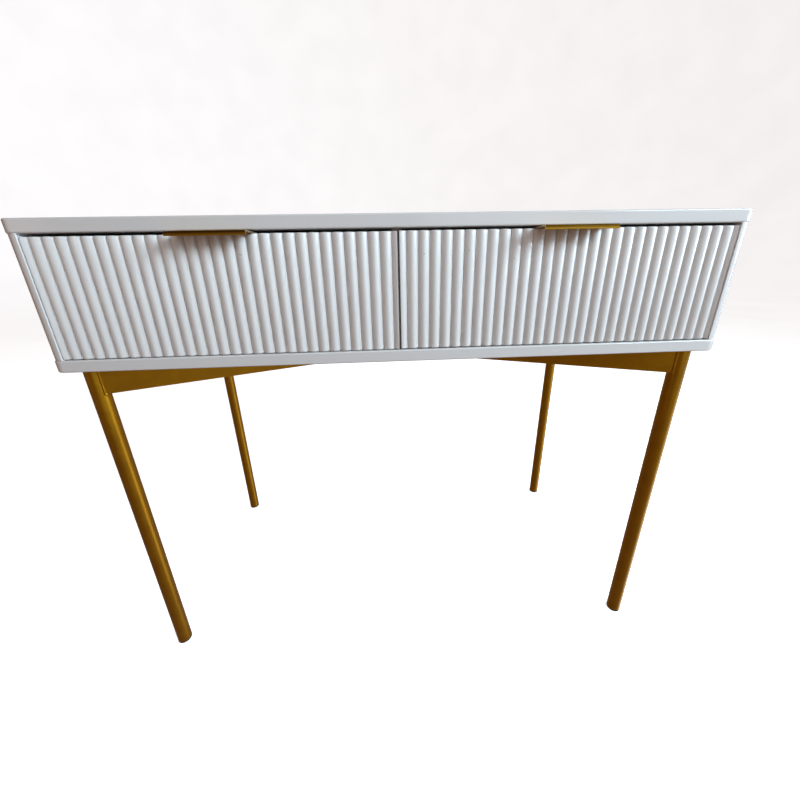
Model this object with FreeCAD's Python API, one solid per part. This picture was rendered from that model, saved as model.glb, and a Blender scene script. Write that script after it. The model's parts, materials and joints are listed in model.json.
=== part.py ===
import FreeCAD, Part
import math
import os
from FreeCAD import Vector

os.makedirs("parts", exist_ok=True)

# Dressing table: white lacquered carcass with two reeded drawers, on a welded gold tube frame.
# Millimetres, +Z up, the drawers open towards -Y. While modelling, y = 0 is the front plane of
# the carcass; save() shifts everything so that the finished table is centred on the origin.

# Carcass
WIDTH = 1020.0
DEPTH = 460.0
HEIGHT = 800.0
BOARD = 18.0
CARCASS_HEIGHT = 205.0
PANEL_CORNER_R = 16.5
PANEL_ARRIS_R = 2.0
SIDE_INSET = 2.0
SIDE_CORNER_R = 16.0
SIDE_ARRIS_R = 1.0
DIVIDER_THICKNESS = 15.0
DIVIDER_SETBACK = 23.0
BACK_THICKNESS = 3.5
BACK_RECESS = 4.0
BACK_GAP = 0.5

# Dowels
DOWEL_R = 3.0
DOWEL_FIT = 0.03
DOWEL_END_GAP = 0.5
CARCASS_DOWEL_IN_PANEL = 10.0
CARCASS_DOWEL_IN_EDGE = 18.0
CARCASS_DOWEL_Y = (50.0, 235.0, 420.0)

# Back panel pins
PIN_R = 0.7
PIN_LENGTH = 16.0
PIN_HEAD_R = 1.6
PIN_HEAD_T = 0.5
PIN_COUNT = 5
PIN_MARGIN = 12.0

# Drawer fronts
GAP_LEFT = 1.8
GAP_CENTRE = 3.0
GAP_RIGHT = 0.4
FRONT_HEIGHT = 164.1
GAP_BOTTOM = {"left": 0.9, "right": 1.4}
FRONT_SETBACK = 1.0
FRONT_THICKNESS = 18.0
REED_PITCH = 16.3
REED_DEPTH = 4.5
GROOVES = 30
FIRST_GROOVE = {"left": 7.0, "right": 9.6}
REED_END_R = 2.5
GROOVE_NUDGE = 1e-7

# Drawer boxes
BOX_DEPTH = 380.0
BOX_HEIGHT = 114.0
BOX_BOARD = 12.0
BOX_LIFT = 10.0
FLOOR_THICKNESS = 3.2
FLOOR_HEIGHT = 10.0
GROOVE_WIDTH = 3.6
GROOVE_DEPTH = 6.0
FLOOR_IN_GROOVE = 5.5
BOX_DOWEL_IN_FRONT = 9.0
BOX_DOWEL_IN_BOARD = 16.0
BOX_DOWEL_Z = (36.0, 88.0)

# Edge pulls
PULL_LENGTH = 100.0
PULL_REACH = 28.0
PULL_THICKNESS = 1.5
PULL_LIP = 6.0
PULL_TAIL = 18.0
PULL_BEND_R = 2.5
PULL_X = 241.7
PULL_SCREW_SPACING = 64.0

# Telescopic slides, each built against a wall at x = 0 and reaching towards +x
SLIDE_LENGTH = 350.0
SLIDE_WIDTH = 12.7
SLIDE_HEIGHT = 45.0
SLIDE_METAL = 1.2
SLIDE_PLAY = 0.1
SLIDE_START = 24.0
SLIDE_LIFT = 57.0
OUTER_FLANGE = 9.5
MIDDLE_WEB_X = 3.0
MIDDLE_FLANGE = 8.0
INNER_FLANGE = 7.5
SLIDE_SCREW_Y = (30.0, 160.0, 300.0)
SLIDE_SCREW_STAGGER = 12.0

# Wood screws: shank radius, length, head radius, head height
SLIDE_SCREW = (1.5, 7.0, 3.0, 1.3)
PULL_SCREW = (1.5, 11.0, 3.0, 1.8)
TAB_SCREW = (2.0, 15.0, 4.5, 2.4)
SCREW_FIT = 0.05

# Underframe
LEG_R = 12.5
LEG_WALL = 1.5
LEG_X = 469.0
LEG_SETBACK = 20.0
BAR_HEIGHT = 40.0
BAR_THICKNESS = 20.0
BAR_WALL = 1.5
WELD_R = 1.8
GLIDE_HEIGHT = 4.0
GLIDE_PLUG = 16.0
GLIDE_FIT = 0.05
GLIDE_EDGE_R = 1.5
TAB_LENGTH = 40.0
TAB_REACH = 26.0
TAB_THICKNESS = 3.0
TAB_FROM_LEG = 70.0

# Levels and positions that follow from the dimensions above
UNDERSIDE_Z = HEIGHT - CARCASS_HEIGHT
FLOOR_Z = UNDERSIDE_Z + BOARD
CEILING_Z = HEIGHT - BOARD
INNER_HEIGHT = CEILING_Z - FLOOR_Z
SIDE_OUTER_X = WIDTH / 2 - SIDE_INSET
SIDE_INNER_X = SIDE_OUTER_X - BOARD
SIDE_DEPTH = DEPTH - BACK_RECESS
FRONT_WIDTH = (2 * SIDE_INNER_X - GAP_LEFT - GAP_CENTRE - GAP_RIGHT) / 2
FRONT_LEFT_X = {
    "left": -SIDE_INNER_X + GAP_LEFT,
    "right": SIDE_INNER_X - GAP_RIGHT - FRONT_WIDTH,
}
FRONT_Z = {hand: FLOOR_Z + gap for hand, gap in GAP_BOTTOM.items()}
BAY_LEFT_X = {"left": -SIDE_INNER_X, "right": DIVIDER_THICKNESS / 2}
BAY_WIDTH = SIDE_INNER_X - DIVIDER_THICKNESS / 2
BOX_WIDTH = BAY_WIDTH - 2 * SLIDE_WIDTH
BOX_Y = FRONT_SETBACK + FRONT_THICKNESS
BOX_Z = FLOOR_Z + BOX_LIFT
SLIDE_Z = FLOOR_Z + SLIDE_LIFT
FRONT_SHIFT = -(DEPTH - PULL_REACH) / 2
LEG_Y = {"front": LEG_SETBACK, "rear": DEPTH - LEG_SETBACK}
HAND_SIGN = {"left": -1, "right": 1}

X_AXIS = Vector(1, 0, 0)
Y_AXIS = Vector(0, 1, 0)
Z_AXIS = Vector(0, 0, 1)


def save(name, shape):
    """Write one node, shifted so that the whole table is centred front to back."""
    moved = shape.copy()
    moved.translate(Vector(0, FRONT_SHIFT, 0))
    moved.exportStep("parts/" + name + ".step")


def box(x0, x1, y0, y1, z0, z1):
    """Box between two corners."""
    return Part.makeBox(x1 - x0, y1 - y0, z1 - z0, Vector(x0, y0, z0))


def group(solids):
    """Several separate solids kept as one node."""
    return Part.makeCompound(solids)


def cut_all(shape, tools):
    """Cut a list of tools out of a shape."""
    return shape.cut(Part.makeCompound(tools)) if tools else shape


def edges_along(shape, direction):
    """Straight edges parallel to a direction."""
    found = []
    for edge in shape.Edges:
        if not isinstance(edge.Curve, Part.Line):
            continue
        if abs(abs(edge.Curve.Direction.dot(direction)) - 1) < 1e-6:
            found.append(edge)
    return found


def edges_at(edges, axis, value):
    """Edges whose middle lies at a given coordinate along an axis."""
    return [e for e in edges if abs(e.CenterOfMass.dot(axis) - value) < 1e-4]


def turned_x(shape, x0):
    """Mirror a shape built against x = 0 and place it against the wall at x0."""
    mirrored = shape.mirror(Vector(0, 0, 0), X_AXIS)
    mirrored.translate(Vector(x0, 0, 0))
    return mirrored


def placed(shape, x, y, z):
    """Copy of a shape moved by a vector."""
    copy = shape.copy()
    copy.translate(Vector(x, y, z))
    return copy


def dowel(start, direction, length):
    """Plain dowel pin with a small chamfer at each end."""
    radius = DOWEL_R - DOWEL_FIT
    pin = Part.makeCylinder(radius, length, start, direction)
    return pin.makeChamfer(0.6, [e for e in pin.Edges if isinstance(e.Curve, Part.Circle)])


def screw(spec, seat, direction):
    """Pan-head wood screw: seat is the point under the head, direction the way it drives in."""
    shank_r, length, head_r, head_h = spec
    tip = 2.5 * shank_r
    shank = Part.makeCylinder(shank_r, length - tip, seat, direction)
    point = Part.makeCone(shank_r, 0.3, tip, seat + direction * (length - tip), direction)
    head = Part.makeCylinder(head_r, head_h, seat - direction * head_h, direction)
    rim = [e for e in head.Edges if isinstance(e.Curve, Part.Circle)]
    outer_rim = [e for e in rim if (e.CenterOfMass - seat).Length > head_h / 2]
    head = head.makeFillet(head_h * 0.6, outer_rim)
    slot_w = head_r * 0.28
    slot = Part.makeBox(slot_w, head_r * 1.1, head_h * 0.5)
    slot.translate(Vector(-slot_w / 2, -head_r * 0.55, -head_h))
    cross = slot.fuse(slot.rotated(Vector(0, 0, 0), Z_AXIS, 90))
    cross.Placement = FreeCAD.Placement(seat, FreeCAD.Rotation(Z_AXIS, direction))
    return head.fuse([shank, point]).cut(cross)


def screw_hole(spec, seat, direction):
    """Pilot hole that a screw's shank fills."""
    shank_r, length, head_r, head_h = spec
    return Part.makeCylinder(shank_r + SCREW_FIT, length + 0.5, seat, direction)


def dowel_holes(starts, direction, length):
    """Blind holes for a list of dowels."""
    return [Part.makeCylinder(DOWEL_R, length, start, direction) for start in starts]


# Carcass

def rounded_panel(z0):
    """Top or bottom board with rounded front corners and softened arrises."""
    board = box(-WIDTH / 2, WIDTH / 2, 0, DEPTH, z0, z0 + BOARD)
    corners = edges_at(edges_along(board, Z_AXIS), Y_AXIS, 0)
    board = board.makeFillet(PANEL_CORNER_R, corners)
    rims = [e for e in board.Edges if abs(e.CenterOfMass.z - z0) < 1e-4]
    rims += [e for e in board.Edges if abs(e.CenterOfMass.z - z0 - BOARD) < 1e-4]
    rims = [e for e in rims if e.CenterOfMass.y < DEPTH - 1]
    return board.makeFillet(PANEL_ARRIS_R, rims)


def upright_centres():
    """Middle of each upright board's thickness."""
    side = SIDE_OUTER_X - BOARD / 2
    return (-side, 0.0, side)


def carcass_dowel_starts(z):
    """Dowel positions on the joint plane at height z."""
    return [Vector(x, y, z) for x in upright_centres() for y in CARCASS_DOWEL_Y]


def pin_positions():
    """Heads of the back panel pins, on the panel's outer face."""
    step = (INNER_HEIGHT - 2 * PIN_MARGIN) / (PIN_COUNT - 1)
    y = SIDE_DEPTH + BACK_THICKNESS
    heads = []
    for x in upright_centres():
        for i in range(PIN_COUNT):
            heads.append(Vector(x, y, FLOOR_Z + PIN_MARGIN + i * step))
    return heads


def build_carcass():
    ceiling = carcass_dowel_starts(CEILING_Z)
    floor = carcass_dowel_starts(FLOOR_Z)
    deep = CARCASS_DOWEL_IN_EDGE
    shallow = CARCASS_DOWEL_IN_PANEL

    top = rounded_panel(CEILING_Z)
    save("top_panel", cut_all(top, dowel_holes(ceiling, Z_AXIS, shallow)))

    bottom = rounded_panel(UNDERSIDE_Z)
    bottom = cut_all(bottom, dowel_holes(floor, -Z_AXIS, shallow))
    tab_holes = [screw_hole(TAB_SCREW, seat, Z_AXIS) for seat in tab_screw_seats()]
    save("bottom_panel", cut_all(bottom, tab_holes))

    edge_holes = dowel_holes(ceiling, -Z_AXIS, deep) + dowel_holes(floor, Z_AXIS, deep)
    pin_holes = []
    for head in pin_positions():
        pin_holes.append(Part.makeCylinder(PIN_R + 0.02, PIN_LENGTH + 0.5, head, -Y_AXIS))

    side = box(SIDE_INNER_X, SIDE_OUTER_X, 0, SIDE_DEPTH, FLOOR_Z, CEILING_Z)
    front_edges = edges_at(edges_along(side, Z_AXIS), Y_AXIS, 0)
    side = side.makeFillet(SIDE_CORNER_R, edges_at(front_edges, X_AXIS, SIDE_OUTER_X))
    front_edges = edges_at(edges_along(side, Z_AXIS), Y_AXIS, 0)
    side = side.makeFillet(SIDE_ARRIS_R, edges_at(front_edges, X_AXIS, SIDE_INNER_X))
    sides = {"left": side.mirror(Vector(0, 0, 0), X_AXIS), "right": side}
    for hand, board in sides.items():
        holes = edge_holes + pin_holes + outer_screw_holes()
        save("side_panel_" + hand, cut_all(board, holes))

    half = DIVIDER_THICKNESS / 2
    divider = box(-half, half, DIVIDER_SETBACK, SIDE_DEPTH, FLOOR_Z, CEILING_Z)
    save("centre_divider", cut_all(divider, edge_holes + pin_holes + outer_screw_holes()))

    back = box(
        -SIDE_OUTER_X + BACK_GAP,
        SIDE_OUTER_X - BACK_GAP,
        SIDE_DEPTH,
        SIDE_DEPTH + BACK_THICKNESS,
        FLOOR_Z + BACK_GAP,
        CEILING_Z - BACK_GAP,
    )
    save("back_panel", cut_all(back, pin_holes))

    pins = []
    for head in pin_positions():
        shank = Part.makeCylinder(PIN_R, PIN_LENGTH, head, -Y_AXIS)
        cap = Part.makeCylinder(PIN_HEAD_R, PIN_HEAD_T, head, Y_AXIS)
        pins.append(shank.fuse(cap))
    save("back_panel_pins", group(pins))

    length = deep + shallow - 2 * DOWEL_END_GAP
    dowels = []
    for start in ceiling:
        dowels.append(dowel(start - Z_AXIS * (deep - DOWEL_END_GAP), Z_AXIS, length))
    for start in floor:
        dowels.append(dowel(start + Z_AXIS * (deep - DOWEL_END_GAP), -Z_AXIS, length))
    save("carcass_dowels", group(dowels))


# Drawer slides

def channel(web_x, flange_end_x, height):
    """Channel with its web at web_x and its flanges reaching to flange_end_x."""
    half = height / 2
    y0 = SLIDE_START
    y1 = SLIDE_START + SLIDE_LENGTH
    low = min(web_x, flange_end_x)
    high = max(web_x, flange_end_x)
    block = box(low, high, y0, y1, -half, half)
    inner = half - SLIDE_METAL
    if flange_end_x > web_x:
        pocket = box(web_x + SLIDE_METAL, high + 1, y0 - 1, y1 + 1, -inner, inner)
    else:
        pocket = box(low - 1, web_x - SLIDE_METAL, y0 - 1, y1 + 1, -inner, inner)
    return block.cut(pocket)


def slide_members():
    """Outer, middle and inner member of one slide against a wall at x = 0."""
    step = 2 * (SLIDE_METAL + SLIDE_PLAY)
    outer = channel(0, OUTER_FLANGE, SLIDE_HEIGHT)
    middle = channel(MIDDLE_WEB_X, MIDDLE_WEB_X + MIDDLE_FLANGE, SLIDE_HEIGHT - step)
    inner_height = SLIDE_HEIGHT - 2 * step
    inner = channel(SLIDE_WIDTH, SLIDE_WIDTH - INNER_FLANGE, inner_height)
    return {"outer": outer, "middle": middle, "inner": inner}


def slide_walls(drawer):
    """Wall position and facing of the two slides of a drawer."""
    x0 = BAY_LEFT_X[drawer]
    return {"left": (x0, 1), "right": (x0 + BAY_WIDTH, -1)}


def slide_screw_seats(drawer, side, member):
    """Seats and drive directions of the screws through one slide member."""
    wall, facing = slide_walls(drawer)[side]
    stagger = SLIDE_SCREW_STAGGER if side == "right" else 0
    if member == "outer":
        offset = SLIDE_METAL
        direction = Vector(-facing, 0, 0)
    else:
        offset = SLIDE_WIDTH - SLIDE_METAL
        direction = Vector(facing, 0, 0)
    seats = []
    for y in SLIDE_SCREW_Y:
        position = Vector(wall + facing * offset, SLIDE_START + y + stagger, SLIDE_Z)
        seats.append((position, direction))
    return seats


def outer_screw_holes():
    """Pilot holes of every outer-member screw."""
    holes = []
    for drawer in ("left", "right"):
        for side in ("left", "right"):
            for seat, direction in slide_screw_seats(drawer, side, "outer"):
                holes.append(screw_hole(SLIDE_SCREW, seat, direction))
    return holes


def inner_screw_holes(drawer):
    """Pilot holes of one drawer's inner-member screws."""
    holes = []
    for side in ("left", "right"):
        for seat, direction in slide_screw_seats(drawer, side, "inner"):
            holes.append(screw_hole(SLIDE_SCREW, seat, direction))
    return holes


def build_slides():
    members = slide_members()
    carcass_screws = []
    for drawer in ("left", "right"):
        for side, (wall, facing) in slide_walls(drawer).items():
            for member, shape in members.items():
                if facing > 0:
                    part = placed(shape, wall, 0, SLIDE_Z)
                else:
                    part = placed(turned_x(shape, wall), 0, 0, SLIDE_Z)
                if member != "middle":
                    seats = slide_screw_seats(drawer, side, member)
                    holes = [screw_hole(SLIDE_SCREW, p, d) for p, d in seats]
                    part = cut_all(part, holes)
                save("slide_" + member + "_" + drawer + "_drawer_" + side, part)
            for seat, direction in slide_screw_seats(drawer, side, "outer"):
                carcass_screws.append(screw(SLIDE_SCREW, seat, direction))
    save("slide_screws_carcass", group(carcass_screws))


# Drawers

def reed_y(x, first_groove):
    """Distance of the reeded face behind the crest plane at x from the front's left edge."""
    half = REED_PITCH / 2
    radius = (half * half + REED_DEPTH * REED_DEPTH) / (2 * REED_DEPTH)
    offset = (x - first_groove) % REED_PITCH - half
    return radius - math.sqrt(radius * radius - offset * offset)


def reeded_board(first_groove):
    """Drawer front built with its left edge at x = 0, its crests at y = 0, its foot at z = 0."""
    stops = [0.0]
    stops += [first_groove + i * REED_PITCH for i in range(GROOVES)]
    stops.append(FRONT_WIDTH)
    edges = []
    for x0, x1 in zip(stops[:-1], stops[1:]):
        points = []
        for x in (x0 + GROOVE_NUDGE, (x0 + x1) / 2, x1 - GROOVE_NUDGE):
            points.append(Vector(x, reed_y(x, first_groove), 0))
        points[0].x = x0
        points[2].x = x1
        edges.append(Part.Arc(*points).toShape())
    first = edges[0].valueAt(edges[0].FirstParameter)
    last = edges[-1].valueAt(edges[-1].LastParameter)
    rear_left = Vector(0, FRONT_THICKNESS, 0)
    rear_right = Vector(FRONT_WIDTH, FRONT_THICKNESS, 0)
    edges.append(Part.makeLine(last, rear_right))
    edges.append(Part.makeLine(rear_right, rear_left))
    edges.append(Part.makeLine(rear_left, first))
    outline = Part.Wire(Part.__sortEdges__(edges))
    board = Part.Face(outline).extrude(Vector(0, 0, FRONT_HEIGHT))

    envelope = box(-1, FRONT_WIDTH + 1, 0, FRONT_THICKNESS, 0, FRONT_HEIGHT)
    crest_edges = edges_at(edges_along(envelope, X_AXIS), Y_AXIS, 0)
    envelope = envelope.makeFillet(REED_END_R, crest_edges)
    return board.common(envelope)


def floor_panel(drawer, clearance):
    """Drawer floor with its edges in the grooves, or the groove cutter with clearance 0."""
    x0 = BAY_LEFT_X[drawer] + SLIDE_WIDTH + BOX_BOARD
    x1 = x0 + BOX_WIDTH - 2 * BOX_BOARD
    y0 = BOX_Y
    y1 = BOX_Y + BOX_DEPTH - BOX_BOARD
    reach = GROOVE_DEPTH if clearance == 0 else FLOOR_IN_GROOVE
    thickness = GROOVE_WIDTH if clearance == 0 else FLOOR_THICKNESS
    z0 = BOX_Z + FLOOR_HEIGHT + clearance
    return box(x0 - reach, x1 + reach, y0 - reach, y1 + reach, z0, z0 + thickness)


def box_dowels(drawer):
    """Start, direction and length into the end grain of each drawer box dowel."""
    x_left = BAY_LEFT_X[drawer] + SLIDE_WIDTH
    x_right = x_left + BOX_WIDTH
    found = []
    for z in BOX_DOWEL_Z:
        for x in (x_left + BOX_BOARD / 2, x_right - BOX_BOARD / 2):
            start = Vector(x, BOX_Y - BOX_DOWEL_IN_FRONT, BOX_Z + z)
            found.append((start, Y_AXIS, BOX_DOWEL_IN_FRONT + BOX_DOWEL_IN_BOARD))
        y = BOX_Y + BOX_DEPTH - BOX_BOARD / 2
        shallow = BOX_BOARD - 4
        found.append((Vector(x_left + 4, y, BOX_Z + z), X_AXIS, shallow + BOX_DOWEL_IN_BOARD))
        found.append((Vector(x_right - 4, y, BOX_Z + z), -X_AXIS, shallow + BOX_DOWEL_IN_BOARD))
    return found


def pull_profile(drawer):
    """Edge pull: lip, plate over the front's top edge and tail down its rear face."""
    top = FRONT_Z[drawer] + FRONT_HEIGHT + PULL_THICKNESS
    front = -PULL_REACH
    rear = BOX_Y + PULL_THICKNESS
    outer = box(0, PULL_LENGTH, front, rear, top - PULL_TAIL, top)
    bends = edges_at(edges_along(outer, X_AXIS), Z_AXIS, top)
    outer = outer.makeFillet(PULL_BEND_R, bends)
    under = top - PULL_THICKNESS
    hollow = box(-1, PULL_LENGTH + 1, front + PULL_THICKNESS, BOX_Y, 0, under)
    lip_bend = edges_at(edges_along(hollow, X_AXIS), Z_AXIS, under)
    lip_bend = edges_at(lip_bend, Y_AXIS, front + PULL_THICKNESS)
    hollow = hollow.makeFillet(PULL_BEND_R - PULL_THICKNESS, lip_bend)
    lip_foot = box(-1, PULL_LENGTH + 1, front - 1, front + PULL_THICKNESS + 1, 0, top - PULL_LIP)
    profile = outer.cut(hollow).cut(lip_foot)
    foot = edges_at(edges_along(profile, X_AXIS), Z_AXIS, top - PULL_LIP)
    return profile.makeFillet(PULL_THICKNESS * 0.4, foot)


def pull_screw_seats(drawer):
    """Screws that hold a pull's tail to the rear face of its drawer front."""
    z = FRONT_Z[drawer] + FRONT_HEIGHT + PULL_THICKNESS - PULL_TAIL + 6
    y = BOX_Y + PULL_THICKNESS
    half = PULL_SCREW_SPACING / 2
    return [Vector(HAND_SIGN[drawer] * PULL_X + dx, y, z) for dx in (-half, half)]


def build_drawer(drawer):
    prefix = "drawer_" + drawer + "_"
    groove = floor_panel(drawer, 0)
    dowels = box_dowels(drawer)
    dowel_bores = []
    pegs = []
    for start, direction, length in dowels:
        dowel_bores.append(Part.makeCylinder(DOWEL_R, length, start, direction))
        inset = direction * DOWEL_END_GAP
        pegs.append(dowel(start + inset, direction, length - 2 * DOWEL_END_GAP))
    save(prefix + "dowels", group(pegs))

    pull_seats = pull_screw_seats(drawer)
    pull_holes = [screw_hole(PULL_SCREW, seat, -Y_AXIS) for seat in pull_seats]
    front = reeded_board(FIRST_GROOVE[drawer])
    front = placed(front, FRONT_LEFT_X[drawer], FRONT_SETBACK, FRONT_Z[drawer])
    save(prefix + "front", cut_all(front, [groove] + dowel_bores + pull_holes))

    pull = placed(pull_profile(drawer), HAND_SIGN[drawer] * PULL_X - PULL_LENGTH / 2, 0, 0)
    save(prefix + "pull", cut_all(pull, pull_holes))
    pull_screws = [screw(PULL_SCREW, seat, -Y_AXIS) for seat in pull_seats]
    save(prefix + "pull_screws", group(pull_screws))

    x0 = BAY_LEFT_X[drawer] + SLIDE_WIDTH
    x1 = x0 + BOX_WIDTH
    y1 = BOX_Y + BOX_DEPTH
    z1 = BOX_Z + BOX_HEIGHT
    rail_holes = inner_screw_holes(drawer)
    boards = {
        "side_left": box(x0, x0 + BOX_BOARD, BOX_Y, y1, BOX_Z, z1),
        "side_right": box(x1 - BOX_BOARD, x1, BOX_Y, y1, BOX_Z, z1),
        "back": box(x0 + BOX_BOARD, x1 - BOX_BOARD, y1 - BOX_BOARD, y1, BOX_Z, z1),
    }
    for name, board in boards.items():
        save(prefix + name, cut_all(board, [groove] + dowel_bores + rail_holes))
    save(prefix + "floor", floor_panel(drawer, (GROOVE_WIDTH - FLOOR_THICKNESS) / 2))

    rail_screws = []
    for side in ("left", "right"):
        for seat, direction in slide_screw_seats(drawer, side, "inner"):
            rail_screws.append(screw(SLIDE_SCREW, seat, direction))
    save(prefix + "slide_screws", group(rail_screws))


# Underframe

def leg_centre(row, side):
    """Axis of a leg at floor level."""
    return Vector(HAND_SIGN[side] * LEG_X, LEG_Y[row], 0)


def bar_between(start, end):
    """Outer and inner block of a rectangular tube between two plan points."""
    run = end - start
    angle = math.degrees(math.atan2(run.y, run.x))
    half = BAR_THICKNESS / 2
    z0 = UNDERSIDE_Z - BAR_HEIGHT
    blocks = []
    for wall in (0, BAR_WALL):
        block = box(0, run.Length, -half + wall, half - wall, z0 + wall, UNDERSIDE_Z - wall)
        block.rotate(Vector(0, 0, 0), Z_AXIS, angle)
        block.translate(start)
        blocks.append(block)
    return blocks


def leg_blank(centre):
    """Solid cylinder filling a leg's outside diameter."""
    return Part.makeCylinder(LEG_R, HEIGHT, centre, Z_AXIS)


def saddle_weld(centre, direction):
    """Bead down both sides and along the underside of a bar where it meets a leg."""
    half = BAR_THICKNESS / 2
    along = math.sqrt(LEG_R * LEG_R - half * half)
    spread = math.degrees(math.asin(half / LEG_R))
    z0 = UNDERSIDE_Z - BAR_HEIGHT
    height = BAR_HEIGHT - 3
    bead = Part.makeTorus(LEG_R, WELD_R, Vector(0, 0, z0), Z_AXIS, 0, 360, 2 * spread)
    bead.rotate(Vector(0, 0, 0), Z_AXIS, -spread)
    pieces = []
    for side in (-half, half):
        pieces.append(Part.makeCylinder(WELD_R, height, Vector(along, side, z0), Z_AXIS))
        pieces.append(Part.makeSphere(WELD_R, Vector(along, side, z0)))
        pieces.append(Part.makeSphere(WELD_R, Vector(along, side, z0 + height)))
    bead = bead.fuse(pieces)
    bead.rotate(Vector(0, 0, 0), Z_AXIS, math.degrees(math.atan2(direction.y, direction.x)))
    bead.translate(centre)
    return bead


def diagonal(row, side):
    """Unit vector in plan from a leg towards the opposite leg."""
    other_row = "rear" if row == "front" else "front"
    other_side = "right" if side == "left" else "left"
    run = leg_centre(other_row, other_side) - leg_centre(row, side)
    return run / run.Length


def tab_frames():
    """Origin, along and outward direction of each mounting tab on the bars' flanks."""
    frames = []
    for row in ("front", "rear"):
        for side in ("left", "right"):
            along = diagonal(row, side)
            outward = Vector(-along.y, along.x, 0)
            if outward.y * (1 if row == "front" else -1) < 0:
                outward = -outward
            flank = leg_centre(row, side) + along * TAB_FROM_LEG
            frames.append((flank + outward * (BAR_THICKNESS / 2), along, outward))
    return frames


def tab_screw_seats():
    """Underside centre of every mounting tab."""
    seats = []
    for origin, along, outward in tab_frames():
        point = origin + along * (TAB_LENGTH / 2) + outward * (TAB_REACH * 0.55)
        seats.append(Vector(point.x, point.y, UNDERSIDE_Z - TAB_THICKNESS))
    return seats


def build_tabs():
    tabs = []
    for origin, along, outward in tab_frames():
        corners = [
            origin,
            origin + along * TAB_LENGTH,
            origin + along * (TAB_LENGTH - 6) + outward * TAB_REACH,
            origin + along * 6 + outward * TAB_REACH,
        ]
        outline = Part.makePolygon(corners + [corners[0]])
        plate = Part.Face(outline).extrude(Vector(0, 0, TAB_THICKNESS))
        plate.translate(Vector(0, 0, UNDERSIDE_Z - TAB_THICKNESS))
        tabs.append(plate)
    holes = [screw_hole(TAB_SCREW, seat, Z_AXIS) for seat in tab_screw_seats()]
    save("mounting_tabs", group([cut_all(tab, holes) for tab in tabs]))
    screws = [screw(TAB_SCREW, seat, Z_AXIS) for seat in tab_screw_seats()]
    save("tab_screws", group(screws))


def build_underframe():
    blanks = {}
    for row in ("front", "rear"):
        for side in ("left", "right"):
            centre = leg_centre(row, side)
            blanks[(row, side)] = leg_blank(centre)
            foot = centre + Z_AXIS * GLIDE_HEIGHT
            length = UNDERSIDE_Z - GLIDE_HEIGHT
            tube = Part.makeCylinder(LEG_R, length, foot)
            tube = tube.cut(Part.makeCylinder(LEG_R - LEG_WALL, length, foot))
            save("leg_" + row + "_" + side, tube)
            disc = Part.makeCylinder(LEG_R, GLIDE_HEIGHT, centre)
            floor_rim = [e for e in disc.Edges if abs(e.CenterOfMass.z) < 1e-6]
            disc = disc.makeFillet(GLIDE_EDGE_R, [e for e in floor_rim if len(e.Vertexes) == 1])
            plug = Part.makeCylinder(LEG_R - LEG_WALL - GLIDE_FIT, GLIDE_PLUG, foot)
            save("glide_" + row + "_" + side, disc.fuse(plug))

    all_legs = list(blanks.values())
    long_outer, long_inner = bar_between(leg_centre("front", "left"), leg_centre("rear", "right"))
    save("cross_bar_long", cut_all(long_outer.cut(long_inner), all_legs))
    centre = (leg_centre("front", "left") + leg_centre("rear", "right")) / 2
    for row, side in (("front", "right"), ("rear", "left")):
        outer, inner = bar_between(leg_centre(row, side), centre)
        half_bar = outer.cut(inner)
        save("cross_bar_" + row + "_" + side, cut_all(half_bar, all_legs + [long_outer]))

    beads = []
    bars = [long_outer]
    for row, side in (("front", "right"), ("rear", "left")):
        bars.append(bar_between(leg_centre(row, side), centre)[0])
    for (row, side) in blanks:
        bead = saddle_weld(leg_centre(row, side), diagonal(row, side))
        beads.append(cut_all(bead, all_legs + bars))
    save("leg_welds", group(beads))


build_carcass()
build_slides()
for hand in ("left", "right"):
    build_drawer(hand)
build_underframe()
build_tabs()
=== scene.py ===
import json
import math

import bmesh
import bpy
from mathutils import Matrix, Vector

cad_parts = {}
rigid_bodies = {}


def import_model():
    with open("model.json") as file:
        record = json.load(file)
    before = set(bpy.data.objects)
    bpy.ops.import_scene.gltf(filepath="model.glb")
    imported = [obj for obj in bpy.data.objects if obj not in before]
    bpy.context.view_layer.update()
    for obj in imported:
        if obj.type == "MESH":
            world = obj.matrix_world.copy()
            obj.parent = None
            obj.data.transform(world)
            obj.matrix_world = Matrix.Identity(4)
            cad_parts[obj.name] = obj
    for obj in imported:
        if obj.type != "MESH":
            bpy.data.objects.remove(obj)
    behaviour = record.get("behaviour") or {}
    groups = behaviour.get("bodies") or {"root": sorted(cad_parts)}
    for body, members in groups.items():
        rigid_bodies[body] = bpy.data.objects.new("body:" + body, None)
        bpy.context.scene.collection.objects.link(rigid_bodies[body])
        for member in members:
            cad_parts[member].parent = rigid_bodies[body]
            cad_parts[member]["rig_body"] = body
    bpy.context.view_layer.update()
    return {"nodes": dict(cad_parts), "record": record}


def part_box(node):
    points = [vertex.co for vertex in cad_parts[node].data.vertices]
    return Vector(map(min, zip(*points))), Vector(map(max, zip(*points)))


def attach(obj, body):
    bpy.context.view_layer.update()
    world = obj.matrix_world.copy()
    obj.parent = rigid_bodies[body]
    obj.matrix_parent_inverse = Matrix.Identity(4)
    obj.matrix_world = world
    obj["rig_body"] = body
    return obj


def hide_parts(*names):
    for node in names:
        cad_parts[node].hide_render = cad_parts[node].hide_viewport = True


# Looks for the dressing table: white lacquered carcass, reeded drawer fronts, gold underframe.
# Metres, in the CAD frame: +X right, +Z up, the drawers open towards -Y.

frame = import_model()
nodes = frame["nodes"]

# Camera: where it stands, how it is turned, and how its frame is cut
CAMERA_AT = (-0.0248, -0.7143, 0.7324)
CAMERA_YAW = 0.05142
CAMERA_PITCH = -0.34583
CAMERA_ROLL = -0.02111
CAMERA_LENS = 15.11
CAMERA_SENSOR = 36.0
CAMERA_SHIFT = (-0.0020, -0.0157)

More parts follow.
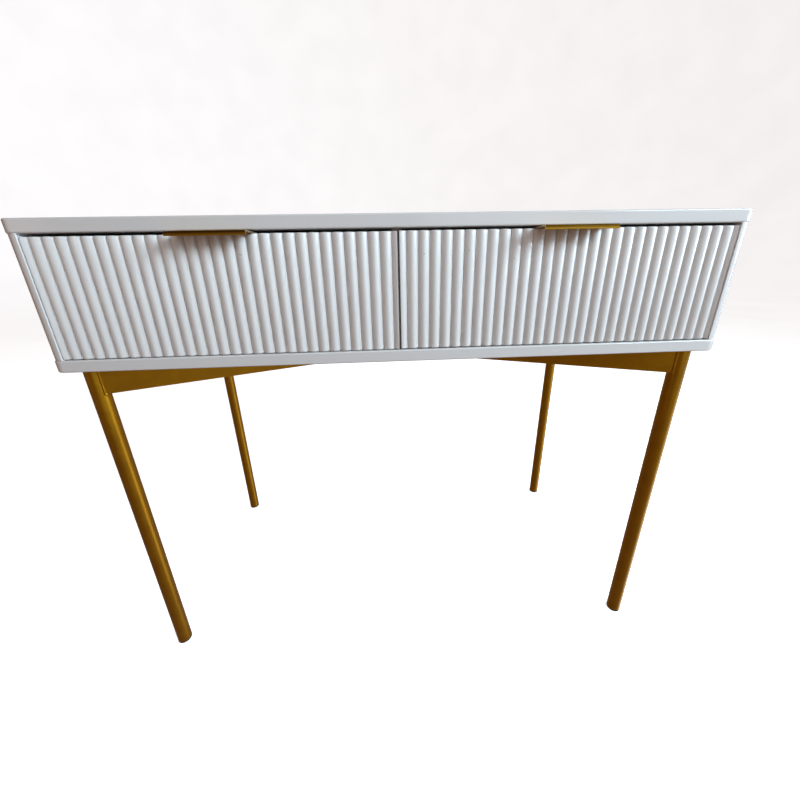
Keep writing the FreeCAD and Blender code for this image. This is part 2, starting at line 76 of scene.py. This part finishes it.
# Reeded fronts
REED_PITCH = 0.0163
REED_DEPTH = 0.0048
REED_ROUND = 0.0034
GROOVE_HALF = 0.0006
REED_STEPS = 14
REED_END_R = 0.0022
REED_END_STEPS = 5
GROOVES = 30
FIRST_GROOVE = {"left": 0.0070, "right": 0.0096}

# Floor that sweeps up into a wall
FLOOR_RADIUS = 8.0
SWEEP_RADIUS = 3.0
SWEEP_STEPS = 12
SWEEP_SIDES = 64
WALL_HEIGHT = 14.0


def node_tree(name):
    """New material with an empty node tree that ends in a Principled shader."""
    material = bpy.data.materials.new(name)
    material.use_nodes = True
    tree = material.node_tree
    tree.nodes.clear()
    out = tree.nodes.new("ShaderNodeOutputMaterial")
    shader = tree.nodes.new("ShaderNodeBsdfPrincipled")
    tree.links.new(shader.outputs["BSDF"], out.inputs["Surface"])
    return material, tree, shader


def object_coordinates(tree, scale=(1, 1, 1)):
    """Coordinates of the row frame, stretched by a scale."""
    source = tree.nodes.new("ShaderNodeTexCoord")
    mapping = tree.nodes.new("ShaderNodeMapping")
    mapping.inputs["Scale"].default_value = scale
    tree.links.new(source.outputs["Object"], mapping.inputs["Vector"])
    return mapping.outputs["Vector"]


def noise(tree, vector, scale, detail=3.0, roughness=0.5):
    """Noise pattern read at a vector."""
    pattern = tree.nodes.new("ShaderNodeTexNoise")
    pattern.inputs["Scale"].default_value = scale
    pattern.inputs["Detail"].default_value = detail
    pattern.inputs["Roughness"].default_value = roughness
    tree.links.new(vector, pattern.inputs["Vector"])
    return pattern.outputs["Fac"]


def ramp(tree, factor, stops):
    """Colour ramp from (position, colour) stops."""
    node = tree.nodes.new("ShaderNodeValToRGB")
    elements = node.color_ramp.elements
    while len(elements) < len(stops):
        elements.new(0.5)
    for element, (position, colour) in zip(elements, stops):
        element.position = position
        element.color = (*colour, 1.0)
    tree.links.new(factor, node.inputs["Fac"])
    return node.outputs["Color"]


def value_range(tree, factor, low, high, from_low=0.0, from_high=1.0):
    """Map a factor to a range of values."""
    node = tree.nodes.new("ShaderNodeMapRange")
    node.inputs["From Min"].default_value = from_low
    node.inputs["From Max"].default_value = from_high
    node.inputs["To Min"].default_value = low
    node.inputs["To Max"].default_value = high
    tree.links.new(factor, node.inputs["Value"])
    return node.outputs["Result"]


def mix_colour(tree, factor, first, second, blend="MIX"):
    """Mix two colours; either may be a socket or a plain colour."""
    node = tree.nodes.new("ShaderNodeMix")
    node.data_type = "RGBA"
    node.blend_type = blend
    for socket, value in ((node.inputs[0], factor), (node.inputs[6], first), (node.inputs[7], second)):
        if isinstance(value, bpy.types.NodeSocket):
            tree.links.new(value, socket)
        elif isinstance(value, (int, float)):
            socket.default_value = value
        else:
            socket.default_value = (*value, 1.0)
    return node.outputs[2]


def bump(tree, shader, height, strength, distance, under=None):
    """Bump on a shader's normal; returns the normal so that another bump can be stacked on it."""
    node = tree.nodes.new("ShaderNodeBump")
    node.inputs["Strength"].default_value = strength
    node.inputs["Distance"].default_value = distance
    tree.links.new(height, node.inputs["Height"])
    if under is not None:
        tree.links.new(under, node.inputs["Normal"])
    tree.links.new(node.outputs["Normal"], shader.inputs["Normal"])
    return node.outputs["Normal"]


def lacquer(name, tint, roughness, coat):
    """Sprayed lacquer: faint mottling, orange peel, dust specks and wipe marks in the gloss."""
    material, tree, shader = node_tree(name)
    place = object_coordinates(tree)
    wipes = object_coordinates(tree, (9, 9, 34))
    mottle = noise(tree, place, 6, 4)
    dull = tuple(c * 0.985 for c in tint)
    base = ramp(tree, mottle, [(0.35, dull), (0.65, tint)])
    specks = value_range(tree, noise(tree, place, 300, 0), 0, 0.6, 0.865, 0.90)
    base = mix_colour(tree, specks, base, (0.42, 0.38, 0.33))
    tree.links.new(base, shader.inputs["Base Color"])
    smear = noise(tree, wipes, 1.0, 5, 0.6)
    gloss = value_range(tree, smear, roughness * 0.95, roughness * 1.08, 0.2, 0.8)
    tree.links.new(gloss, shader.inputs["Roughness"])
    shader.inputs["Coat Weight"].default_value = coat
    shader.inputs["Coat Roughness"].default_value = 0.08
    shader.inputs["IOR"].default_value = 1.5
    peel = noise(tree, place, 240, 2)
    flow = noise(tree, place, 22, 2)
    first = bump(tree, shader, flow, 0.02, 0.0006)
    bump(tree, shader, peel, 0.012, 0.0002, first)
    return material


def melamine(name, tint):
    """Matt board facing with a fine pressed pore and faint handling marks."""
    material, tree, shader = node_tree(name)
    place = object_coordinates(tree)
    stretched = object_coordinates(tree, (1, 5, 5))
    clouds = noise(tree, place, 9, 5)
    base = ramp(tree, clouds, [(0.3, tuple(c * 0.93 for c in tint)), (0.7, tint)])
    scuffs = value_range(tree, noise(tree, stretched, 60, 6, 0.7), 0, 0.25, 0.62, 0.8)
    base = mix_colour(tree, scuffs, base, (0.50, 0.48, 0.45))
    tree.links.new(base, shader.inputs["Base Color"])
    tree.links.new(value_range(tree, clouds, 0.42, 0.6), shader.inputs["Roughness"])
    pores = noise(tree, stretched, 700, 3)
    bump(tree, shader, pores, 0.12, 0.0003)
    return material


def hardboard(name, tint):
    """Painted hardboard: mottled matt coat over pressed fibres."""
    material, tree, shader = node_tree(name)
    place = object_coordinates(tree)
    fibres = noise(tree, object_coordinates(tree, (1, 3, 1)), 320, 8, 0.7)
    clouds = noise(tree, place, 14, 4)
    base = ramp(tree, clouds, [(0.3, tuple(c * 0.88 for c in tint)), (0.75, tint)])
    flecks = value_range(tree, fibres, 0, 0.35, 0.56, 0.75)
    base = mix_colour(tree, flecks, base, (0.46, 0.40, 0.33))
    tree.links.new(base, shader.inputs["Base Color"])
    tree.links.new(value_range(tree, fibres, 0.55, 0.8), shader.inputs["Roughness"])
    bump(tree, shader, fibres, 0.2, 0.0004)
    return material


def gold_paint(name):
    """Metallic gold paint on steel tube: fine flake, soft mottling, runs along the tube, rubbed marks."""
    material, tree, shader = node_tree(name)
    place = object_coordinates(tree)
    flake = noise(tree, place, 1500, 2)
    mottle = noise(tree, place, 45, 4)
    base = ramp(tree, mottle, [(0.3, (0.49, 0.255, 0.001)), (0.7, (0.56, 0.295, 0.001))])
    sparkle = value_range(tree, flake, 0, 0.2, 0.55, 0.75)
    base = mix_colour(tree, sparkle, base, (0.66, 0.38, 0.02))
    marks = noise(tree, object_coordinates(tree, (3, 3, 1)), 130, 8, 0.75)
    rubbed = value_range(tree, marks, 0, 0.15, 0.70, 0.80)
    base = mix_colour(tree, rubbed, base, (0.45, 0.24, 0.02))
    tree.links.new(base, shader.inputs["Base Color"])
    shader.inputs["Metallic"].default_value = 1.0
    shader.inputs["Coat Weight"].default_value = 0.5
    shader.inputs["Coat Roughness"].default_value = 0.25
    tree.links.new(value_range(tree, mottle, 0.29, 0.38), shader.inputs["Roughness"])
    under = bump(tree, shader, noise(tree, place, 90, 2), 0.05, 0.001)
    bump(tree, shader, flake, 0.04, 0.0002, under)
    return material


def gold_anodised(name, lip_low, lip_high):
    """Anodised aluminium: drawn grain, painted shade along the lip's rolled top and bottom edges, bare
    where it was sawn.
    """
    material, tree, shader = node_tree(name)
    grain = noise(tree, object_coordinates(tree, (14, 900, 900)), 1.0, 4, 0.6)
    clouds = noise(tree, object_coordinates(tree), 60, 3)
    base = ramp(tree, grain, [(0.3, (0.36, 0.190, 0.012)), (0.7, (0.48, 0.265, 0.030))])
    base = mix_colour(tree, value_range(tree, clouds, 0, 0.4, 0.4, 0.7), base, (0.34, 0.185, 0.020))
    height = tree.nodes.new("ShaderNodeSeparateXYZ")
    tree.links.new(object_coordinates(tree), height.inputs["Vector"])
    # Painted shade: the lip's front face is darkened towards its top and bottom edges, with a lighter band
    # left between them.
    up_lip = value_range(tree, height.outputs["Z"], 0, 1, lip_low, lip_high)
    plain = (1.0, 1.0, 1.0)
    stops = [(0.12, (0.32, 0.28, 0.22)), (0.36, plain), (0.70, plain), (0.88, (0.2, 0.17, 0.12))]
    painted_lip_shade = ramp(tree, up_lip, stops)
    geometry = tree.nodes.new("ShaderNodeNewGeometry")
    split = tree.nodes.new("ShaderNodeSeparateXYZ")
    tree.links.new(geometry.outputs["Normal"], split.inputs["Vector"])
    on_lip = value_range(tree, split.outputs["Y"], 1, 0, -0.8, -0.3)
    # The painted shade is multiplied onto the lip's front-facing faces only.
    base = mix_colour(tree, on_lip, base, painted_lip_shade, "MULTIPLY")
    size = tree.nodes.new("ShaderNodeMath")
    size.operation = "ABSOLUTE"
    tree.links.new(split.outputs["X"], size.inputs[0])
    sawn = value_range(tree, size.outputs["Value"], 0, 1, 0.75, 0.9)
    base = mix_colour(tree, sawn, base, (0.82, 0.72, 0.55))
    tree.links.new(base, shader.inputs["Base Color"])
    shader.inputs["Metallic"].default_value = 1.0
    tree.links.new(value_range(tree, grain, 0.34, 0.50), shader.inputs["Roughness"])
    bump(tree, shader, grain, 0.12, 0.0002)
    return material


def zinc_plate(name, tint):
    """Zinc plated steel: rolled grain and cloudy passivation."""
    material, tree, shader = node_tree(name)
    grain = noise(tree, object_coordinates(tree, (600, 9, 600)), 1.0, 4)
    clouds = noise(tree, object_coordinates(tree), 120, 4)
    base = ramp(tree, clouds, [(0.3, tuple(c * 0.8 for c in tint)), (0.7, tint)])
    base = mix_colour(tree, value_range(tree, grain, 0, 0.4), base, (0.72, 0.73, 0.70))
    tree.links.new(base, shader.inputs["Base Color"])
    shader.inputs["Metallic"].default_value = 1.0
    tree.links.new(value_range(tree, grain, 0.25, 0.45), shader.inputs["Roughness"])
    bump(tree, shader, grain, 0.1, 0.0002)
    return material


def beech(name):
    """Bare beech dowel: pale grain with short dark flecks."""
    material, tree, shader = node_tree(name)
    grain = noise(tree, object_coordinates(tree, (220, 220, 30)), 1.0, 6, 0.6)
    base = ramp(tree, grain, [(0.3, (0.50, 0.32, 0.16)), (0.7, (0.66, 0.46, 0.26))])
    tree.links.new(base, shader.inputs["Base Color"])
    tree.links.new(value_range(tree, grain, 0.55, 0.75), shader.inputs["Roughness"])
    bump(tree, shader, grain, 0.2, 0.0003)
    return material


def black_plastic(name):
    """Moulded plastic glide: fine spark texture, dusty and scuffed."""
    material, tree, shader = node_tree(name)
    place = object_coordinates(tree)
    scuffs = noise(tree, place, 260, 8, 0.7)
    base = ramp(tree, scuffs, [(0.45, (0.012, 0.012, 0.012)), (0.8, (0.09, 0.085, 0.08))])
    tree.links.new(base, shader.inputs["Base Color"])
    tree.links.new(value_range(tree, scuffs, 0.38, 0.62), shader.inputs["Roughness"])
    bump(tree, shader, noise(tree, place, 1800, 2), 0.15, 0.0002)
    return material


def dress(name, material):
    """Give a CAD node its finished material."""
    mesh = nodes[name].data
    mesh.materials.clear()
    mesh.materials.append(material)


def dress_nodes():
    """One finish per material slot of the record."""
    pull_low, pull_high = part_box("drawer_left_pull")
    finishes = {
        "white_lacquer": lacquer("white_lacquer", (0.70, 0.70, 0.705), 0.26, 0.35),
        "white_melamine": melamine("white_melamine", (0.78, 0.78, 0.77)),
        "white_hardboard": hardboard("white_hardboard", (0.72, 0.71, 0.68)),
        "gold_paint": gold_paint("gold_paint"),
        "gold_anodised": gold_anodised("gold_anodised", pull_low.z, pull_high.z),
        "slide_steel": zinc_plate("slide_steel", (0.58, 0.59, 0.60)),
        "fastener_steel": zinc_plate("fastener_steel", (0.50, 0.50, 0.47)),
        "dowel_beech": beech("dowel_beech"),
        "glide_plastic": black_plastic("glide_plastic"),
    }
    for part in frame["record"]["subparts"]:
        dress(part["node"], finishes[part["material_slot"]])


def reed_depth(offset):
    """Depth of a reed's face below its crest: a shallow round, then a steep wall into the groove."""
    half_round = REED_PITCH / 2 - GROOVE_HALF
    radius = (half_round * half_round + REED_ROUND * REED_ROUND) / (2 * REED_ROUND)
    inside = min(abs(offset), half_round)
    depth = radius - math.sqrt(radius * radius - inside * inside)
    beyond = max(abs(offset) - half_round, 0.0) / GROOVE_HALF
    return depth + (REED_DEPTH - REED_ROUND) * beyond


def reed_profile(width, first_groove):
    """Points (x, y) across a reeded face, crests at y = 0, from the left edge to the right."""
    grooves = [first_groove + i * REED_PITCH for i in range(GROOVES)]
    stops = {0.0, width}
    for groove in grooves + [grooves[-1] + REED_PITCH]:
        stops.update((groove - GROOVE_HALF, groove, groove + GROOVE_HALF))
        first = groove + GROOVE_HALF - REED_PITCH
        step = (REED_PITCH - 2 * GROOVE_HALF) / REED_STEPS
        stops.update(first + i * step for i in range(1, REED_STEPS))
    points = []
    for x in sorted(x for x in stops if 0.0 <= x <= width):
        along = (x - first_groove) % REED_PITCH
        points.append((x, reed_depth(along - REED_PITCH / 2)))
    return points


def reeded_front(node, first_groove, material):
    """Drawer front whose reeds roll over at their top and bottom ends, in place of the CAD one."""
    low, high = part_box(node)
    height = high.z - low.z
    rows = []
    for i in range(REED_END_STEPS + 1):
        turn = math.pi / 2 * i / REED_END_STEPS
        rows.append((REED_END_R * (1 - math.sin(turn)), REED_END_R * (1 - math.cos(turn))))
    levels = [(z, back) for back, z in rows]
    levels.append((height / 2, 0.0))
    levels += [(height - z, back) for back, z in reversed(rows)]
    profile = reed_profile(high.x - low.x, first_groove)
    mesh = bmesh.new()
    grid = []
    for z, back in levels:
        row = []
        for x, y in profile:
            row.append(mesh.verts.new((low.x + x, low.y + y + back, low.z + z)))
        grid.append(row)
    for below, above in zip(grid[:-1], grid[1:]):
        for i in range(len(profile) - 1):
            mesh.faces.new((below[i], below[i + 1], above[i + 1], above[i]))
    rear = [mesh.verts.new((x, high.y, z)) for x, z in
            ((low.x, low.z), (high.x, low.z), (high.x, high.z), (low.x, high.z))]
    mesh.faces.new((rear[3], rear[2], rear[1], rear[0]))
    mesh.faces.new([rear[0], rear[1]] + list(reversed(grid[0])))
    mesh.faces.new([rear[2], rear[3]] + grid[-1])
    mesh.faces.new([rear[3], rear[0]] + [row[0] for row in grid])
    mesh.faces.new([rear[1], rear[2]] + [row[-1] for row in reversed(grid)])
    bmesh.ops.recalc_face_normals(mesh, faces=mesh.faces)
    data = bpy.data.meshes.new(node + "_reeded")
    mesh.to_mesh(data)
    mesh.free()
    for face in data.polygons:
        face.use_smooth = True
    data.set_sharp_from_angle(angle=math.radians(40))
    data.materials.append(material)
    piece = bpy.data.objects.new(node + "_reeded", data)
    bpy.context.scene.collection.objects.link(piece)
    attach(piece, nodes[node]["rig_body"])
    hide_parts(node)
    return piece


def area_light(name, place, target, size, energy, colour):
    """Softbox that points at a target."""
    data = bpy.data.lights.new(name, "AREA")
    data.shape = "RECTANGLE"
    data.size, data.size_y = size
    data.energy = energy
    data.color = colour
    light = bpy.data.objects.new(name, data)
    bpy.context.scene.collection.objects.link(light)
    light.location = place
    direction = Vector(target) - Vector(place)
    light.rotation_euler = direction.to_track_quat("-Z", "Y").to_euler()
    return light


def backdrop():
    """Pale floor that sweeps up into a wall all the way round."""
    outline = [(FLOOR_RADIUS * i / 4, 0.0) for i in range(5)]
    for i in range(1, SWEEP_STEPS + 1):
        turn = math.pi / 2 * i / SWEEP_STEPS
        outline.append((FLOOR_RADIUS + SWEEP_RADIUS * math.sin(turn), SWEEP_RADIUS * (1 - math.cos(turn))))
    outline.append((FLOOR_RADIUS + SWEEP_RADIUS, WALL_HEIGHT))
    mesh = bmesh.new()
    centre = mesh.verts.new((0, 0, 0))
    rings = []
    for radius, z in outline[1:]:
        ring = []
        for i in range(SWEEP_SIDES):
            turn = 2 * math.pi * i / SWEEP_SIDES
            ring.append(mesh.verts.new((radius * math.cos(turn), radius * math.sin(turn), z)))
        rings.append(ring)
    for i in range(SWEEP_SIDES):
        mesh.faces.new((centre, rings[0][i], rings[0][(i + 1) % SWEEP_SIDES]))
    for inner, outer in zip(rings[:-1], rings[1:]):
        for i in range(SWEEP_SIDES):
            after = (i + 1) % SWEEP_SIDES
            mesh.faces.new((inner[i], outer[i], outer[after], inner[after]))
    data = bpy.data.meshes.new("backdrop")
    mesh.to_mesh(data)
    mesh.free()
    for face in data.polygons:
        face.use_smooth = True
    material, tree, shader = node_tree("backdrop")
    place = object_coordinates(tree)
    base = ramp(tree, noise(tree, place, 1.5, 3), [(0.3, (0.78, 0.78, 0.78)), (0.7, (0.81, 0.81, 0.81))])
    tree.links.new(base, shader.inputs["Base Color"])
    shine = ramp(tree, noise(tree, place, 1.5, 3), [(0.3, (0.77, 0.79, 0.81)), (0.7, (0.80, 0.82, 0.84))])
    tree.links.new(shine, shader.inputs["Emission Color"])
    shader.inputs["Emission Strength"].default_value = 0.98
    shader.inputs["Roughness"].default_value = 0.9
    data.materials.append(material)
    floor = bpy.data.objects.new("backdrop", data)
    bpy.context.scene.collection.objects.link(floor)
    # Only the camera sees the backdrop, so that it does not wash out the white lacquer
    floor.visible_diffuse = False
    floor.visible_glossy = False
    floor.visible_shadow = False


def build_lights():
    """Soft key from the front right, weaker softboxes round it, and a low light for the gold's gloss."""
    area_light("key", (2.3, -1.8, 1.9), (0.1, -0.2, 0.6), (1.4, 1.1), 86, (0.72, 0.90, 1.0))
    area_light("front", (1.0, -3.0, 1.1), (0, 0, 0.65), (1.2, 1.6), 7, (0.88, 0.95, 1.0))
    area_light("near", (-0.1, -1.9, 1.75), (0.1, -0.2, 0.65), (0.8, 0.6), 4, (0.90, 0.95, 1.0))
    area_light("side", (2.7, -0.5, 1.3), (0.3, 0, 0.6), (0.5, 1.2), 44, (0.76, 0.90, 1.0))
    # Stands for a bright floor: it shows in gloss only, from under the floor's level
    glow = area_light("floor_glow", (2.4, -0.43, -1.0), (0, -0.2, 0.3), (1.2, 1.9), 6.2, (1.0, 0.93, 0.82))
    glow.visible_diffuse = False
    glow.visible_camera = False
    area_light("rear", (0.3, 3.2, 2.2), (0, 0, 0.6), (3.5, 2.5), 36, (1.0, 0.98, 0.96))
    area_light("fill", (-2.4, -1.6, 1.0), (0, 0, 0.6), (1.2, 1.2), 4, (1.0, 0.68, 0.50))


def build_surround():
    """Dim sky round the stage: warm on the left, cooler and brighter on the right."""
    world = bpy.data.worlds.new("surround")
    bpy.context.scene.world = world
    world.use_nodes = True
    tree = world.node_tree
    source = tree.nodes.new("ShaderNodeTexCoord")
    split = tree.nodes.new("ShaderNodeSeparateXYZ")
    tree.links.new(source.outputs["Generated"], split.inputs["Vector"])
    across = value_range(tree, split.outputs["X"], 0, 1, -1, 1)
    stops = [(0.0, (0.14, 0.080, 0.048)), (0.5, (0.19, 0.122, 0.084)), (1.0, (0.30, 0.25, 0.26))]
    glow = ramp(tree, across, stops)
    tree.links.new(glow, tree.nodes["Background"].inputs["Color"])


def build_camera():
    """Camera with its axes worked out from yaw, pitch and roll."""
    yaw, pitch, roll = CAMERA_YAW, CAMERA_PITCH, CAMERA_ROLL
    ahead = Vector((math.sin(yaw) * math.cos(pitch), math.cos(yaw) * math.cos(pitch), math.sin(pitch)))
    level = Vector((math.cos(yaw), -math.sin(yaw), 0))
    upward = level.cross(ahead)
    right = math.cos(roll) * level + math.sin(roll) * upward
    top = math.cos(roll) * upward - math.sin(roll) * level
    data = bpy.data.cameras.new("camera")
    data.sensor_width = CAMERA_SENSOR
    data.lens = CAMERA_LENS
    data.shift_x, data.shift_y = CAMERA_SHIFT
    data.clip_start = 0.02
    camera = bpy.data.objects.new("camera", data)
    bpy.context.scene.collection.objects.link(camera)
    turn = Matrix((right, top, -ahead)).transposed()
    camera.matrix_world = Matrix.Translation(CAMERA_AT) @ turn.to_4x4()
    bpy.context.scene.camera = camera


dress_nodes()
front_lacquer = lacquer("front_lacquer", (0.745, 0.745, 0.745), 0.30, 0.25)
for hand in ("left", "right"):
    reeded_front("drawer_" + hand + "_front", FIRST_GROOVE[hand], front_lacquer)
backdrop()
build_lights()
build_surround()
build_camera()
bpy.context.scene.view_settings.view_transform = "Standard"
